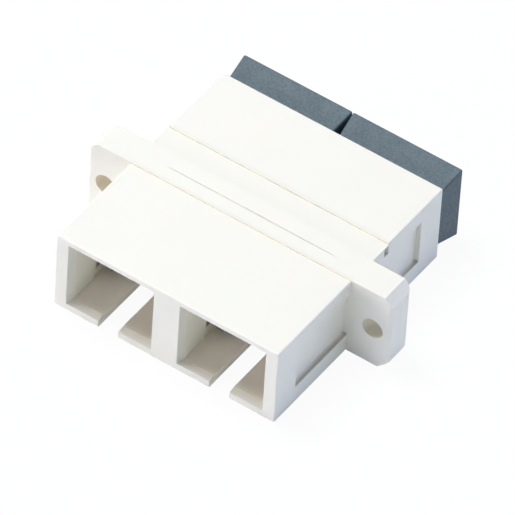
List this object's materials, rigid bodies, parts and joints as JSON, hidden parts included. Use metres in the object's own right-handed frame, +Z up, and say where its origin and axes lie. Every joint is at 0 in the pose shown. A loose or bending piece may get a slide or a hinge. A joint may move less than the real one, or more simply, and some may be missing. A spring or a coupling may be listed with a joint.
{
  "type": "sc duplex fibre adapter",
  "caption": "Flanged duplex fibre adapter with push-pull ports, inner latch inserts, split alignment sleeves and dust caps over the rear ports.",
  "frame": {"origin": "midway between the two screw holes, on the flange face that seats against the panel", "axes": "+X across the two ports, +Y along the port axis from the open ports to the dust caps, +Z up, away from the keyway side"},
  "size_m": [0.0346, 0.0305, 0.0093],
  "materials": {
    "housing": "moulded, fine satin",
    "insert": "moulded, satin",
    "sleeve": "ground white ceramic",
    "cap": "moulded, finely textured"
  },
  "bodies": {
    "adapter": {"front_housing": "housing", "rear_housing": "housing", "latch_insert_left_front": "insert", "latch_insert_left_rear": "insert", "latch_insert_right_front": "insert", "latch_insert_right_rear": "insert", "alignment_sleeve_left": "sleeve", "alignment_sleeve_right": "sleeve"},
    "left_cap": {"dust_cap_left": "cap"},
    "right_cap": {"dust_cap_right": "cap"}
  },
  "joints": [
    {"name": "dust_cap_left_pull", "type": "slide", "parent": "adapter", "child": "left_cap", "axis": [0, 1, 0], "range_m": [0, 0.006]},
    {"name": "dust_cap_right_pull", "type": "slide", "parent": "adapter", "child": "right_cap", "axis": [0, 1, 0], "range_m": [0, 0.006]}
  ]
}
